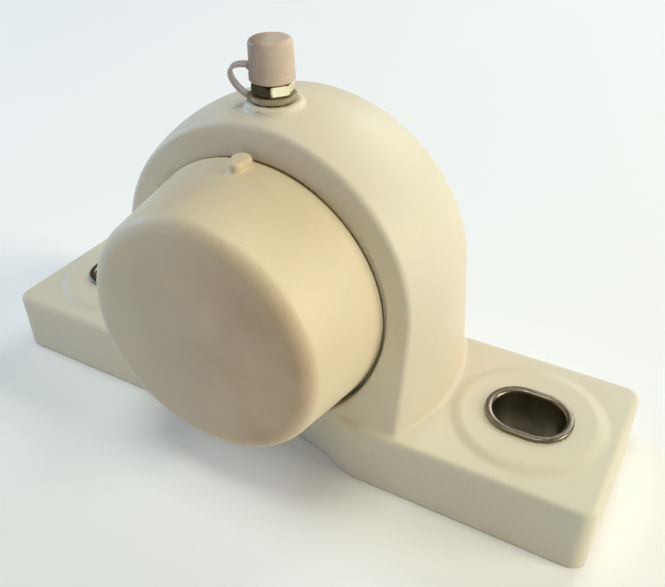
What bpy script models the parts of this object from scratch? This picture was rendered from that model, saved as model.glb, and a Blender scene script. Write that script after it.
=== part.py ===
"""Two-bolt pillow block: a moulded thermoplastic housing with an insert ball bearing.

The frame is X along the base, -Y out of the closed end cap and Z up. The origin is the
middle of the base's underside. Lengths are in metres, and MM turns millimetres into metres.
"""

import math

import bmesh
import bpy
from mathutils import Matrix, Vector

MM = 0.001
GAP = 0.3 * MM

# Housing
BASE_LENGTH = 142 * MM
BASE_WIDTH = 38 * MM
FOOT_HEIGHT = 14.5 * MM
FOOT_CORNER = 3.2 * MM
FOOT_EDGE = 1.3 * MM
UNDERSIDE_EDGE = 0.4 * MM
CENTRE_HEIGHT = 36.5 * MM
ARCH_RADIUS = 35.2 * MM
ARCH_FOOT_HALF_WIDTH = 36.5 * MM
ARCH_BARREL_RADIUS = 38 * MM
ARCH_EDGE = 1.2 * MM
# Half the arch's depth at the shaft's height, and how fast it shrinks upwards above and below it
ARCH_HALF_DEPTH = 13.9 * MM
ARCH_LEAN_ABOVE = 0.045
ARCH_LEAN_BELOW = 0.185
ARCH_LEAN_BEND = 4 * MM
ARCH_LOWEST = 10 * MM
BOLT_X = 53 * MM
PAD_RADIUS = 14.4 * MM
PAD_HEIGHT = 0.4 * MM
CAP_SEAT_Y = 12.9 * MM
CAP_SEAT_RADIUS = 28.3 * MM
WAIST_HALF_WIDTH = 22 * MM
WAIST_DEPTH = 5.4 * MM
WAIST_TOP = 24 * MM
SPIGOT_FLOOR_Y = 9.6 * MM
SEAT_HALF_LENGTH = 8 * MM

# Insert bearing
SPHERE_RADIUS = 26 * MM
OUTER_RING_WIDTH = 17 * MM
SHAFT_RADIUS = 12.5 * MM
INNER_RING_RADIUS = 17 * MM
INNER_RING_FRONT = 19.8 * MM
INNER_RING_REAR = 14.3 * MM
SHOULDER_RADIUS = 21.7 * MM
SEAL_STEP_RADIUS = 22.9 * MM
BALL_COUNT = 9
BALL_RADIUS = 3.969 * MM
BALL_CIRCLE_RADIUS = 19.25 * MM
GROOVE_RADIUS = BALL_RADIUS + GAP
SET_SCREW_Y = 14.8 * MM
SET_SCREW_RADIUS = 3 * MM
SET_SCREW_ANGLES = (60, 120)

# Bolt sleeves, whose outlines are slots along X
SLOT_REACH = 1.8 * MM
SLEEVE_BORE = 5.3 * MM
SLEEVE_RADIUS = 6.3 * MM
SLEEVE_RIM = 6.95 * MM
SLEEVE_ROLL = 0.4 * MM

# Closed end cap
CAP_RIM_RADIUS = 27.4 * MM
CAP_FRONT_RADIUS = 24.85 * MM
CAP_FRONT_Y = 34.1 * MM
CAP_EDGE = 3.6 * MM
CAP_WALL = 1.7 * MM
SPIGOT_RADIUS = 26.6 * MM
SPIGOT_LENGTH = 3.3 * MM
SPIGOT_WALL = 1.4 * MM
LUG_X = -0.2 * MM
LUG_Y = -15.6 * MM
# (radius, distance from the shaft) of the lug's foot, shoulder and top
LUG_LEVELS = ((2.4 * MM, 26.2 * MM), (2.2 * MM, 28.2 * MM), (1.6 * MM, 28.9 * MM))

# Grease nipple and its dust cap
NIPPLE_Y = -4.2 * MM
BOSS_RADIUS = 5.2 * MM
BOSS_TOP = 71.9 * MM
BOSS_FOOT = 66 * MM
STRAP_RING_TOP = 73.2 * MM
HEX_BOTTOM = 73.5 * MM
HEX_TOP = 75.4 * MM
HEX_FLATS = 7 * MM
HEX_TURN = math.radians(-10)
NIPPLE_TOP = 81.6 * MM
NIPPLE_FOOT = 63.6 * MM
SHANK_RADIUS = 2.9 * MM
NECK_RADIUS = 2.3 * MM
HEAD_RADIUS = 3.1 * MM
HEAD_BOTTOM = 78.6 * MM
HEAD_WIDEST = 79.6 * MM
CHAMBER_BOTTOM = 72.5 * MM
CHAMBER_TOP = 80.2 * MM
CHECK_BALL_RADIUS = 1.25 * MM
CHECK_BALL_Z = 79 * MM
DUST_CAP_BOTTOM = 75.7 * MM
DUST_CAP_TOP = 83 * MM
DUST_CAP_RADIUS = 4.2 * MM
STRAP_DIRECTION = 205
STRAP_HALF_WIDTH = 1.1 * MM
STRAP_HALF_THICKNESS = 0.32 * MM
# (distance from the nipple's axis, height) of the strap's ends and the points that pull its curve
STRAP_ROUTE = ((4.6 * MM, 72.7 * MM), (7.0 * MM, 74.0 * MM), (9.9 * MM, 78.9 * MM), (4.45 * MM, 78.3 * MM))

ROUND_STEPS = 48
SEAT_STEPS = 56
SMOOTH_ANGLE = math.radians(35)
# Turning a round cutter a little keeps its corners off the corners of what it cuts.
CUTTER_TURN = math.radians(1.3)
BEARING_CENTRE = Vector((0, 0, CENTRE_HEIGHT))
NIPPLE_AXIS = Vector((0, NIPPLE_Y, 0))


def clear_scene():
    for obj in list(bpy.data.objects):
        bpy.data.objects.remove(obj, do_unlink=True)


def material(name, colour, roughness, metallic=0.0):
    made = bpy.data.materials.new(name)
    made.use_nodes = True
    shader = made.node_tree.nodes["Principled BSDF"]
    shader.inputs["Base Color"].default_value = (*colour, 1)
    shader.inputs["Roughness"].default_value = roughness
    shader.inputs["Metallic"].default_value = metallic
    made.diffuse_color = (*colour, 1)
    return made


def finish_mesh(name, bm, location=(0, 0, 0), look=None):
    """Turns a bmesh into an object with outward faces, smooth where it is round."""
    bmesh.ops.remove_doubles(bm, verts=bm.verts, dist=1e-7)
    bmesh.ops.recalc_face_normals(bm, faces=bm.faces)
    mesh = bpy.data.meshes.new(name)
    bm.to_mesh(mesh)
    bm.free()
    mesh.shade_smooth()
    mesh.set_sharp_from_angle(angle=SMOOTH_ANGLE)
    obj = bpy.data.objects.new(name, mesh)
    obj.location = location
    bpy.context.scene.collection.objects.link(obj)
    if look:
        mesh.materials.append(look)
    return obj


def arc(centre, radius, start, end, steps):
    """Points of a flat arc, in degrees, both ends included."""
    angles = [math.radians(start + (end - start) * i / steps) for i in range(steps + 1)]
    return [(centre[0] + radius * math.cos(a), centre[1] + radius * math.sin(a)) for a in angles]


def turned(name, profile, location, look, axis="Y", steps=ROUND_STEPS, closed=True):
    """Spins (radius, height) points about the axis. An open profile starts and ends on it."""
    bm = bmesh.new()
    if axis == "Y":
        points = [bm.verts.new((r, h, 0)) for r, h in profile]
        spin_axis = (0, 1, 0)
    else:
        points = [bm.verts.new((r, 0, h)) for r, h in profile]
        spin_axis = (0, 0, 1)
    ends = list(zip(points, points[1:]))
    if closed:
        ends.append((points[-1], points[0]))
    edges = [bm.edges.new(pair) for pair in ends]
    bmesh.ops.spin(
        bm,
        geom=points + edges,
        axis=spin_axis,
        cent=(0, 0, 0),
        angle=2 * math.pi,
        steps=steps,
        use_merge=True,
    )
    return finish_mesh(name, bm, location, look)


def lofted(name, rings, location, look, closed=False, strips=False):
    """Joins rings of equally many points. A closed loft has no ends. An open one is capped, by
    single faces or by strips that join each point to the one across the ring from it."""
    bm = bmesh.new()
    rows = [[bm.verts.new(point) for point in ring] for ring in rings]
    pairs = list(zip(rows, rows[1:]))
    if closed:
        pairs.append((rows[-1], rows[0]))
    for low, high in pairs:
        for i in range(len(low)):
            j = (i + 1) % len(low)
            bm.faces.new((low[i], low[j], high[j], high[i]))
    ends = [] if closed else [rows[0], rows[-1]]
    for end in ends:
        for face in strip_faces(end) if strips else [end]:
            bm.faces.new(face)
    return finish_mesh(name, bm, location, look)


def strip_faces(ring):
    """Faces across a ring of an odd number of points that is the same on both sides."""
    half = len(ring) // 2
    strips = [(ring[i], ring[i + 1], ring[-2 - i], ring[-1 - i]) for i in range(half - 1)]
    return [*strips, ring[half - 1 : half + 2]]


def boolean(obj, other, operation="DIFFERENCE"):
    """Adds a Boolean modifier and hides the object it uses."""
    other.hide_render = True
    other.display_type = "WIRE"
    other.hide_set(True)
    modifier = obj.modifiers.new(other.name, "BOOLEAN")
    modifier.operation = operation
    modifier.object = other
    modifier.solver = "EXACT"


def slot_outline(radius, z, reach=SLOT_REACH, steps=9):
    """A slot along X with round ends of this radius."""
    right = arc((reach, 0), radius, -90, 90, steps)
    left = arc((-reach, 0), radius, 90, 270, steps)
    return [(x, y, z) for x, y in right + left]


def rounded_rectangle(half_x, half_y, radius, z, steps=4):
    points = []
    for sign_x, sign_y, start in ((1, -1, -90), (1, 1, 0), (-1, 1, 90), (-1, -1, 180)):
        centre = (sign_x * (half_x - radius), sign_y * (half_y - radius))
        points += arc(centre, radius, start, start + 90, steps)
    return [(x, y, z) for x, y in points]


def circle_outline(radius, z, sides=24):
    return [(*arc((0, 0), radius, 0, 360, sides)[i], z) for i in range(sides)]


def hexagon_outline(flats, z, sides=24):
    """A hexagon with extra points along its flats, so it lofts to a circle."""
    points = []
    for i in range(sides):
        angle = 2 * math.pi * i / sides
        off_flat = (angle % (math.pi / 3)) - math.pi / 6
        radius = flats / 2 / math.cos(off_flat)
        points.append((radius * math.cos(angle), radius * math.sin(angle), z))
    return points


# ---------------------------------------------------------------- housing


def arch_half_depth(z):
    """Half the arch's depth at this height. Its faces lean back, more so below the shaft."""
    above = z - CENTRE_HEIGHT
    mean = (ARCH_LEAN_ABOVE + ARCH_LEAN_BELOW) / 2
    bend = (ARCH_LEAN_BELOW - ARCH_LEAN_ABOVE) / 2
    bent = math.hypot(above, ARCH_LEAN_BEND) - ARCH_LEAN_BEND
    return ARCH_HALF_DEPTH - mean * above + bend * bent


def arch_point(along, z, from_edge, turn, spread):
    """A point of the arch's barrel at this share of its depth, drawn in near its faces."""
    y = along * arch_half_depth(z)
    inset = ARCH_EDGE - math.sqrt(ARCH_EDGE**2 - (ARCH_EDGE - from_edge) ** 2)
    radius = ARCH_RADIUS - y**2 / (2 * ARCH_BARREL_RADIUS) - inset
    x = radius * math.cos(turn) + math.copysign(spread, math.cos(turn))
    return (x, y, z if spread else CENTRE_HEIGHT + radius * math.sin(turn))


def arch_ring(share, from_edge, steps=24):
    """The arch's outline at a share of its depth: a half circle over spreading side walls."""
    ring = []
    for turn in [math.pi * i / steps for i in range(steps + 1)]:
        z = CENTRE_HEIGHT + ARCH_RADIUS * math.sin(turn)
        ring.append(arch_point(share, z, from_edge, turn, 0))
    slope = (ARCH_FOOT_HALF_WIDTH - ARCH_RADIUS) / (CENTRE_HEIGHT - FOOT_HEIGHT)
    for z in (30 * MM, 22 * MM, FOOT_HEIGHT, ARCH_LOWEST):
        spread = slope * (CENTRE_HEIGHT - z)
        ring.insert(0, arch_point(share, z, from_edge, 0, spread))
        ring.append(arch_point(share, z, from_edge, math.pi, spread))
    return ring


def make_base(look):
    half_x, half_y = BASE_LENGTH / 2, BASE_WIDTH / 2
    levels = [(UNDERSIDE_EDGE, 0), (0, UNDERSIDE_EDGE)]
    rounding = arc((FOOT_EDGE, FOOT_HEIGHT - FOOT_EDGE), FOOT_EDGE, 180, 90, 4)
    rings = [
        rounded_rectangle(half_x - inset, half_y - inset, FOOT_CORNER - inset, z)
        for inset, z in levels + rounding
    ]
    return lofted("housing", rings, (0, 0, 0), look)


def make_arch():
    """Rings from the rear face to the front one, close together where the edges are round."""
    levels = [(share, ARCH_EDGE) for share in (0, 0.3, 0.6)]
    for angle in (0, 30, 60, 90):
        from_edge = ARCH_EDGE * (1 - math.sin(math.radians(angle)))
        levels.append((1 - from_edge / ARCH_HALF_DEPTH, from_edge))
    levels = [(-share, edge) for share, edge in reversed(levels[1:])] + levels
    rings = [arch_ring(share, edge) for share, edge in levels]
    return lofted("arch_form", rings, (0, 0, 0), None, strips=True)


def make_pad(side):
    z = FOOT_HEIGHT
    low = circle_outline(PAD_RADIUS, z - 2 * MM, 40)
    rim = circle_outline(PAD_RADIUS, z + 0.4 * PAD_HEIGHT, 40)
    top = circle_outline(PAD_RADIUS - PAD_HEIGHT, z + PAD_HEIGHT, 40)
    x = BOLT_X if side == "right" else -BOLT_X
    return lofted("pad_form_" + side, [low, rim, top], (x, 0, 0), None)


def make_boss():
    flare = 1 * MM
    levels = [(BOSS_RADIUS + flare, BOSS_FOOT), (BOSS_RADIUS + flare, BOSS_TOP - 1.9 * MM)]
    levels += [(BOSS_RADIUS, BOSS_TOP - 0.8 * MM), (BOSS_RADIUS - 0.4 * MM, BOSS_TOP)]
    rings = [circle_outline(radius, z, 20) for radius, z in levels]
    boss = lofted("boss_form", rings, NIPPLE_AXIS, None)
    boss.rotation_euler.z = CUTTER_TURN
    return boss


def pocket_cutter(side):
    """The round pocket that the end cap's rim stands in."""
    name = "pocket_front" if side < 0 else "pocket_rear"
    near, far = side * CAP_SEAT_Y, side * (BASE_WIDTH / 2 + 5 * MM)
    profile = [(0, near), (CAP_SEAT_RADIUS, near), (CAP_SEAT_RADIUS, far), (0, far)]
    cutter = turned(name, profile, BEARING_CENTRE, None, steps=SEAT_STEPS, closed=False)
    cutter.rotation_euler.y = CUTTER_TURN
    return cutter


def waist_cutter(side):
    """A wide upright cylinder that scoops the base's middle back to the cap's seat."""
    radius = (WAIST_HALF_WIDTH**2 + WAIST_DEPTH**2) / (2 * WAIST_DEPTH)
    deepest = BASE_WIDTH / 2 - WAIST_DEPTH
    rings = [circle_outline(radius, z, 160) for z in (-5 * MM, WAIST_TOP)]
    name = "waist_cutter_front" if side < 0 else "waist_cutter_rear"
    cutter = lofted(name, rings, (0, side * (deepest + radius), 0), None)
    cutter.rotation_euler.z = CUTTER_TURN
    return cutter


def bore_cutter():
    """The spherical seat, with a round way in from each side and a recess for a cap's spigot."""
    seat = SPHERE_RADIUS + GAP
    mouth = math.sqrt(seat**2 - SEAT_HALF_LENGTH**2)
    outside, spigot = BASE_WIDTH / 2 + 3 * MM, SPIGOT_RADIUS + GAP
    edge_angle = math.degrees(math.asin(SEAT_HALF_LENGTH / seat))
    sphere = arc((0, 0), seat, -edge_angle, edge_angle, 6)
    front = [(0, -outside), (spigot, -outside)]
    front += [(spigot, -SPIGOT_FLOOR_Y), (mouth, -SPIGOT_FLOOR_Y)]
    rear = [(r, -y) for r, y in reversed(front)]
    profile = front + sphere + rear
    cutter = turned("bore_cutter", profile, BEARING_CENTRE, None, steps=SEAT_STEPS, closed=False)
    cutter.rotation_euler.y = CUTTER_TURN + math.pi / SEAT_STEPS
    return cutter


def bolt_cutter(side):
    x = BOLT_X if side == "right" else -BOLT_X
    rings = [slot_outline(SLEEVE_RADIUS + GAP, z * MM) for z in (-5, 20)]
    return lofted("bolt_cutter_" + side, rings, (x, 0, 0), None)


def make_housing(look):
    housing = make_base(look)
    for added in (make_arch(), make_pad("left"), make_pad("right"), make_boss()):
        boolean(housing, added, "UNION")
    nipple_hole = lofted(
        "nipple_cutter",
        [circle_outline(SHANK_RADIUS + GAP, z * MM) for z in (50, 80)],
        NIPPLE_AXIS,
        None,
    )
    nipple_hole.rotation_euler.z = 3 * CUTTER_TURN
    cutters = [pocket_cutter(-1), pocket_cutter(1), waist_cutter(-1), waist_cutter(1)]
    cutters += [bore_cutter(), bolt_cutter("left"), bolt_cutter("right"), nipple_hole]
    for cutter in cutters:
        boolean(housing, cutter)


def make_bolt_sleeve(side, look):
    """A steel tube through the foot, with its rim rolled out over the pad."""
    pad_top = FOOT_HEIGHT + PAD_HEIGHT
    roll = SLEEVE_ROLL
    rim_centre = (SLEEVE_RIM - roll, pad_top + GAP + roll)
    profile = [(SLEEVE_BORE, GAP), (SLEEVE_RADIUS, GAP), (SLEEVE_RADIUS, pad_top + GAP)]
    profile += arc(rim_centre, roll, -90, 90, 4)
    profile += arc((SLEEVE_BORE + roll, rim_centre[1]), roll, 90, 180, 3)
    x = BOLT_X if side == "right" else -BOLT_X
    rings = [slot_outline(radius, z) for radius, z in profile]
    lofted("bolt_sleeve_" + side, rings, (x, 0, 0), look, closed=True)


# ---------------------------------------------------------------- insert bearing


def groove(shoulder, outward, steps=6):
    """The ball groove's points, along the shaft from front to rear."""
    rise = abs(BALL_CIRCLE_RADIUS - shoulder)
    half = math.degrees(math.acos(rise / GROOVE_RADIUS))
    middle = 0 if outward else 180
    points = arc((BALL_CIRCLE_RADIUS, 0), GROOVE_RADIUS, middle - half, middle + half, steps)
    return points if outward else points[::-1]


def make_outer_ring(look):
    half = OUTER_RING_WIDTH / 2
    edge_angle = math.degrees(math.asin(half / SPHERE_RADIUS))
    step_y = 5.9 * MM
    outside = arc((0, 0), SPHERE_RADIUS, -edge_angle, edge_angle, 6)
    rear_step = [(SEAL_STEP_RADIUS, half), (SEAL_STEP_RADIUS, step_y), (SHOULDER_RADIUS, step_y)]
    front_step = [(r, -y) for r, y in reversed(rear_step)]
    profile = outside + rear_step + groove(SHOULDER_RADIUS, True)[::-1] + front_step
    ring = turned("outer_ring", profile, BEARING_CENTRE, look)
    hole = lofted(
        "lubrication_cutter",
        [circle_outline(1 * MM, z * MM, 12) for z in (52, 70)],
        NIPPLE_AXIS,
        None,
    )
    boolean(ring, hole)


def screw_turn(angle):
    """Turns a screw that stands along Z to this angle above the +X side, about the shaft."""
    return Matrix.Rotation(math.radians(90 - angle), 4, "Y")


def make_inner_ring(look):
    chamfer = 0.5 * MM
    front, rear = -INNER_RING_FRONT, INNER_RING_REAR
    profile = [(SHAFT_RADIUS + chamfer, front), (INNER_RING_RADIUS - chamfer, front)]
    profile += [(INNER_RING_RADIUS, front + chamfer)]
    profile += groove(INNER_RING_RADIUS, False)
    profile += [(INNER_RING_RADIUS, rear - chamfer), (INNER_RING_RADIUS - chamfer, rear)]
    profile += [(SHAFT_RADIUS + chamfer, rear), (SHAFT_RADIUS, rear - chamfer)]
    profile += [(SHAFT_RADIUS, front + chamfer)]
    ring = turned("inner_ring", profile, BEARING_CENTRE, look, steps=40)
    for number, angle in enumerate(SET_SCREW_ANGLES, 1):
        rings = [circle_outline(SET_SCREW_RADIUS + GAP, z * MM, 16) for z in (6, 24)]
        cutter = lofted(f"screw_cutter_{number}", rings, (0, 0, 0), None)
        place = Matrix.Translation(BEARING_CENTRE - Vector((0, SET_SCREW_Y, 0)))
        cutter.matrix_world = place @ screw_turn(angle)
        boolean(ring, cutter)


def make_cage(look):
    inner, outer, half = 18.1 * MM, 20.5 * MM, 5.1 * MM
    profile = [(inner, -half), (outer, -half), (outer, half), (inner, half)]
    cage = turned("ball_cage", profile, BEARING_CENTRE, look, steps=36)
    for number in range(BALL_COUNT):
        rings = [circle_outline(BALL_RADIUS + GAP, z * MM, 14) for z in (15, 23)]
        pocket = lofted(f"pocket_cutter_{number + 1}", rings, BEARING_CENTRE, None)
        pocket.rotation_euler.y = 2 * math.pi * number / BALL_COUNT
        boolean(cage, pocket)


def make_balls(look):
    bm = bmesh.new()
    bmesh.ops.create_uvsphere(bm, u_segments=12, v_segments=7, radius=BALL_RADIUS)
    first = finish_mesh("ball_1", bm, (0, 0, 0), look)
    for number in range(BALL_COUNT):
        ball = first if number == 0 else bpy.data.objects.new(f"ball_{number + 1}", first.data)
        if number:
            bpy.context.scene.collection.objects.link(ball)
        angle = 2 * math.pi * number / BALL_COUNT
        offset = Vector((math.sin(angle), 0, math.cos(angle))) * BALL_CIRCLE_RADIUS
        ball.location = BEARING_CENTRE + offset


def make_seal(side, look):
    """A rubber washer set in the outer ring's step, with its lip close to the inner ring."""
    lip, root = INNER_RING_RADIUS + GAP, SEAL_STEP_RADIUS - GAP
    profile = [(lip, 6.2), (lip, 6.6), (18.4 * MM, 7.2), (root, 7.2), (root, 6.3), (18.6 * MM, 6.3)]
    points = [(r, (-1 if side == "front" else 1) * y * MM) for r, y in profile]
    turned("seal_" + side, points, BEARING_CENTRE, look, steps=36)


def make_slinger(side, look):
    """A steel disc on a short collar, which turns with the inner ring outside its seal."""
    collar, rim = INNER_RING_RADIUS + GAP, SEAL_STEP_RADIUS - 2 * GAP
    profile = [(collar, 7.5), (rim, 7.6), (rim, 8.2), (collar + 0.6 * MM, 8.2)]
    profile += [(collar + 0.6 * MM, 9.8), (collar, 9.8)]
    points = [(r, (-1 if side == "front" else 1) * y * MM) for r, y in profile]
    turned("slinger_" + side, points, BEARING_CENTRE, look, steps=40)


def make_set_screw(number, look):
    """A screw with a cup point towards the shaft and a hexagon socket in its outer end."""
    tip, head = SHAFT_RADIUS + 0.4 * MM, INNER_RING_RADIUS + 0.6 * MM
    radius, chamfer = SET_SCREW_RADIUS, 0.5 * MM
    socket = 3 * MM
    rings = [
        circle_outline(radius - 2 * chamfer, tip),
        circle_outline(radius, tip + chamfer),
        circle_outline(radius, head - chamfer),
        circle_outline(radius - chamfer, head),
        hexagon_outline(socket, head),
        hexagon_outline(socket, head - 2.4 * MM),
    ]
    screw = lofted(f"set_screw_{number}", rings, (0, 0, 0), look)
    place = Matrix.Translation(BEARING_CENTRE - Vector((0, SET_SCREW_Y, 0)))
    screw.matrix_world = place @ screw_turn(SET_SCREW_ANGLES[number - 1])


# ---------------------------------------------------------------- closed end cap


def make_end_cap(look):
    rim_y = CAP_SEAT_Y + GAP
    corner = (CAP_FRONT_RADIUS - CAP_EDGE, -CAP_FRONT_Y + CAP_EDGE)
    inside_front = -CAP_FRONT_Y + CAP_WALL
    inside_corner = (CAP_FRONT_RADIUS - CAP_EDGE, inside_front + CAP_EDGE - CAP_WALL)
    spigot_end = -rim_y + SPIGOT_LENGTH
    spigot_bore = SPIGOT_RADIUS - SPIGOT_WALL
    profile = [(0, -CAP_FRONT_Y)]
    profile += arc(corner, CAP_EDGE, -90, 0, 5)
    profile += [(CAP_RIM_RADIUS, -rim_y - 0.4 * MM), (CAP_RIM_RADIUS - 0.4 * MM, -rim_y)]
    profile += [(SPIGOT_RADIUS, -rim_y), (SPIGOT_RADIUS, spigot_end - 0.5 * MM)]
    profile += [(SPIGOT_RADIUS - 0.5 * MM, spigot_end), (spigot_bore, spigot_end)]
    profile += [(spigot_bore, -rim_y - 2 * MM)]
    profile += arc(inside_corner, CAP_EDGE - CAP_WALL, 0, -90, 2)
    profile += [(0, inside_front)]
    cap = turned("closed_end_cap", profile, BEARING_CENTRE, look, closed=False)
    rings = [circle_outline(radius, z, 16) for radius, z in LUG_LEVELS]
    lug = lofted("lug_form", rings, BEARING_CENTRE + Vector((LUG_X, LUG_Y, 0)), None)
    boolean(cap, lug, "UNION")


# ---------------------------------------------------------------- grease nipple


def make_nipple(look):
    """The screwed shank, the hexagon and the head, with a grease way through the middle."""
    chamber, ledge, mouth = 1.6 * MM, 0.9 * MM, 0.95 * MM
    chamfer = 0.5 * MM
    rings = [
        circle_outline(SHANK_RADIUS - chamfer, NIPPLE_FOOT),
        circle_outline(SHANK_RADIUS, NIPPLE_FOOT + chamfer),
        circle_outline(SHANK_RADIUS, HEX_BOTTOM),
        hexagon_outline(HEX_FLATS, HEX_BOTTOM),
        hexagon_outline(HEX_FLATS, HEX_TOP),
        circle_outline(NECK_RADIUS, HEX_TOP),
        circle_outline(NECK_RADIUS, HEAD_BOTTOM - 1.3 * MM),
        circle_outline(HEAD_RADIUS, HEAD_BOTTOM),
        circle_outline(HEAD_RADIUS, HEAD_WIDEST),
        circle_outline(2.0 * MM, NIPPLE_TOP),
        circle_outline(mouth, NIPPLE_TOP),
        circle_outline(mouth, CHAMBER_TOP),
        circle_outline(chamber, CHAMBER_TOP),
        circle_outline(chamber, CHAMBER_BOTTOM),
        circle_outline(ledge, CHAMBER_BOTTOM),
        circle_outline(ledge, NIPPLE_FOOT),
    ]
    nipple = lofted("grease_nipple", rings, NIPPLE_AXIS, look, closed=True)
    nipple.rotation_euler.z = HEX_TURN


def make_check_ball(look):
    bm = bmesh.new()
    bmesh.ops.create_uvsphere(bm, u_segments=12, v_segments=6, radius=CHECK_BALL_RADIUS)
    finish_mesh("nipple_check_ball", bm, NIPPLE_AXIS + Vector((0, 0, CHECK_BALL_Z)), look)


def make_nipple_spring(look):
    """A coil between the grease way's ledge and the check ball."""
    coil, wire, turns, per_turn = 1.05 * MM, 0.18 * MM, 5, 9
    low, high = CHAMBER_BOTTOM + 0.5 * MM, CHECK_BALL_Z - 1.7 * MM
    curve = bpy.data.curves.new("nipple_spring", "CURVE")
    curve.dimensions = "3D"
    curve.bevel_depth = wire
    curve.bevel_resolution = 0
    curve.use_fill_caps = True
    spline = curve.splines.new("POLY")
    spline.points.add(turns * per_turn)
    for i, point in enumerate(spline.points):
        angle = 2 * math.pi * i / per_turn
        height = low + (high - low) * i / (turns * per_turn)
        point.co = (coil * math.cos(angle), coil * math.sin(angle), height, 1)
    curve.materials.append(look)
    spring = bpy.data.objects.new("nipple_spring", curve)
    spring.location = NIPPLE_AXIS
    bpy.context.scene.collection.objects.link(spring)


def make_dust_cap(look):
    bore, edge, taper = 3.4 * MM, 0.7 * MM, 0.25 * MM
    inside_top = DUST_CAP_TOP - 1 * MM
    shoulder = (DUST_CAP_RADIUS - taper - edge, DUST_CAP_TOP - edge)
    profile = [(0, inside_top), (bore, inside_top), (bore, DUST_CAP_BOTTOM)]
    profile += [(DUST_CAP_RADIUS, DUST_CAP_BOTTOM)]
    profile += arc(shoulder, edge, 0, 90, 4)
    profile += [(0, DUST_CAP_TOP)]
    turned("dust_cap", profile, NIPPLE_AXIS, look, axis="Z", steps=28, closed=False)


def make_strap_ring(look):
    inner, outer = SHANK_RADIUS + GAP, 4.3 * MM
    low, high = BOSS_TOP + GAP, STRAP_RING_TOP
    profile = [(inner, low), (outer, low), (outer, high), (inner, high)]
    turned("dust_cap_ring", profile, NIPPLE_AXIS, look, axis="Z", steps=28)


def strap_route():
    """(distance from the nipple's axis, height) of the strap's middle, from ring to dust cap."""
    ring_end, lower_pull, upper_pull, cap_end = [Vector(point) for point in STRAP_ROUTE]
    points = []
    for i in range(13):
        t = i / 12
        s = 1 - t
        point = s**3 * ring_end + 3 * s**2 * t * lower_pull
        points.append(point + 3 * s * t**2 * upper_pull + t**3 * cap_end)
    return points


def make_strap(look):
    """A flat band bent in an upright plane beside the nipple."""
    half_width, half_thick = STRAP_HALF_WIDTH, STRAP_HALF_THICKNESS
    route = strap_route()
    rings = []
    for i, point in enumerate(route):
        along = (route[min(i + 1, len(route) - 1)] - route[max(i - 1, 0)]).normalized()
        across = Vector((-along.y, along.x)) * half_thick
        ring = []
        for side, face in ((-1, -1), (1, -1), (1, 1), (-1, 1)):
            place = point + across * face
            ring.append((place.x, side * half_width, place.y))
        rings.append(ring)
    strap = lofted("dust_cap_strap", rings, NIPPLE_AXIS, look)
    strap.rotation_euler.z = math.radians(STRAP_DIRECTION)


def main():
    clear_scene()
    plastic = material("ivory_plastic", (0.80, 0.74, 0.58), 0.42)
    cap_plastic = material("cap_plastic", (0.80, 0.72, 0.54), 0.40)
    bearing_steel = material("bearing_steel", (0.62, 0.62, 0.62), 0.22, 1.0)
    stainless = material("stainless_steel", (0.60, 0.59, 0.57), 0.28, 1.0)
    brass = material("brass", (0.86, 0.70, 0.36), 0.2, 1.0)
    rubber = material("black_rubber", (0.03, 0.03, 0.03), 0.6)
    soft_plastic = material("soft_cap_plastic", (0.62, 0.55, 0.47), 0.5)
    screw_steel = material("screw_steel", (0.30, 0.30, 0.30), 0.35, 1.0)
    cage_plastic = material("cage_plastic", (0.85, 0.83, 0.76), 0.5)

    make_housing(plastic)
    make_outer_ring(bearing_steel)
    make_inner_ring(bearing_steel)
    make_cage(cage_plastic)
    make_balls(bearing_steel)
    for side in ("front", "rear"):
        make_seal(side, rubber)
        make_slinger(side, stainless)
    for side in ("left", "right"):
        make_bolt_sleeve(side, stainless)
    for number in (1, 2):
        make_set_screw(number, screw_steel)
    make_end_cap(cap_plastic)
    make_nipple(brass)
    make_check_ball(stainless)
    make_nipple_spring(stainless)
    make_dust_cap(soft_plastic)
    make_strap_ring(soft_plastic)
    make_strap(soft_plastic)


main()
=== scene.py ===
"""Looks of the two-bolt pillow block: a moulded housing and its insert ball bearing.

Shapes are worked out in millimetres and placed in metres. X runs along the base, -Y out of the
closed end cap and Z up, with the origin in the middle of the base's underside.
"""

import math

import bmesh
import bpy
import numpy as np
import openvdb
from mathutils import Matrix, Vector


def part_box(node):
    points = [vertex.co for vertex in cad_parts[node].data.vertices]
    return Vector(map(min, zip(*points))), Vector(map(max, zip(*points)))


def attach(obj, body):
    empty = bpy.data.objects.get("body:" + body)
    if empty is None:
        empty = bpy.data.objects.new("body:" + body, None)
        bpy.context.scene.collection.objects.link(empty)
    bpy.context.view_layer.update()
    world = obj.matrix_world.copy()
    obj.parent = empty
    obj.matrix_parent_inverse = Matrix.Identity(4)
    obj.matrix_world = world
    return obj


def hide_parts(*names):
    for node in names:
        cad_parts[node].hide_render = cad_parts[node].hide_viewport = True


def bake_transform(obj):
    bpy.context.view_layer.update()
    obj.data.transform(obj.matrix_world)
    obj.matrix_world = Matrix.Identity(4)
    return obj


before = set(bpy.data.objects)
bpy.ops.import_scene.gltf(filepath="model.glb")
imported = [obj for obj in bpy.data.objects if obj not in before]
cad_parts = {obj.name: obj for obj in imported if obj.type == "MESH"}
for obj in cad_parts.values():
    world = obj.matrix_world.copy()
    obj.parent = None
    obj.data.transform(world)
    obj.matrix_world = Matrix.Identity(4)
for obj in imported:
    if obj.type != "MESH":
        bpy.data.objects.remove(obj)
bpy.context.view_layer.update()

MM = 0.001


def cad_box(node):
    """A CAD node's lowest and highest corner, in millimetres."""
    low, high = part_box(node)
    return np.array(low) / MM, np.array(high) / MM


# ---------------------------------------------------------------- sizes read from the frame

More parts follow.
